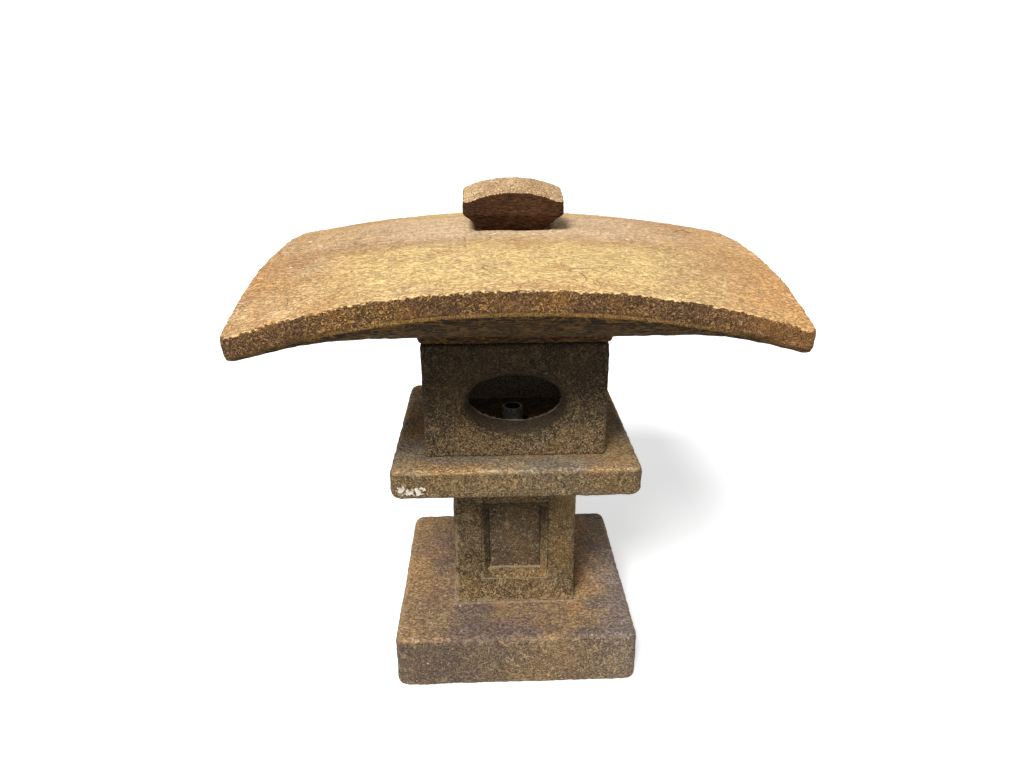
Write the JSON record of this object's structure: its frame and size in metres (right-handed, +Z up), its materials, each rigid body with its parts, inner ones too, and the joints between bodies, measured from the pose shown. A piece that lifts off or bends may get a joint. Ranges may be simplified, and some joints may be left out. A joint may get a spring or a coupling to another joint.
{
  "type": "stone lantern",
  "caption": "Garden lantern of stacked cast stones: square base and panelled shaft, platform, light box with oval windows, wide domed roof and loaf-shaped finial.",
  "frame": {"origin": "on the ground, under the middle of the base slab", "axes": "+Z up along the stack, the front window faces -Y, +X to the right of someone facing the front"},
  "size_m": [0.426, 0.426, 0.4835],
  "materials": {
    "base_stone": "hand-trowelled cast stone, brown with ochre and mauve-grey staining, matt",
    "shaft_stone": "sandy cast stone, dark brown to olive, ochre at the head, matt",
    "platform_stone": "cast stone, mid brown with grey and rust patches, worn pale at the edges, matt",
    "light_box_stone": "cast stone, very dark brown, sandier and paler towards the foot, matt",
    "roof_stone": "wrinkled cast stone, golden tan above, dark brown on the eave face, olive brown below, matt",
    "finial_stone": "cast stone, pale speckled tan on top, dark red-brown on the sides, matt",
    "conduit_plastic": "grey conduit plastic, dusty"
  },
  "bodies": {
    "base": {"base_slab": "base_stone", "conduit": "conduit_plastic"},
    "shaft": {"shaft": "shaft_stone"},
    "platform": {"platform": "platform_stone"},
    "light_box": {"light_box": "light_box_stone"},
    "roof": {"roof": "roof_stone"},
    "finial": {"finial": "finial_stone"}
  },
  "joints": [
    {"name": "shaft_lift", "type": "slide", "parent": "base", "child": "shaft", "axis": [0, 0, 1], "range_m": [0, 0.21]},
    {"name": "platform_lift", "type": "slide", "parent": "shaft", "child": "platform", "axis": [0, 0, 1], "range_m": [0, 0.06]},
    {"name": "light_box_lift", "type": "slide", "parent": "platform", "child": "light_box", "axis": [0, 0, 1], "range_m": [0, 0.05]},
    {"name": "roof_lift", "type": "slide", "parent": "light_box", "child": "roof", "axis": [0, 0, 1], "range_m": [0, 0.08]},
    {"name": "finial_lift", "type": "slide", "parent": "roof", "child": "finial", "axis": [0, 0, 1], "range_m": [0, 0.04]}
  ]
}
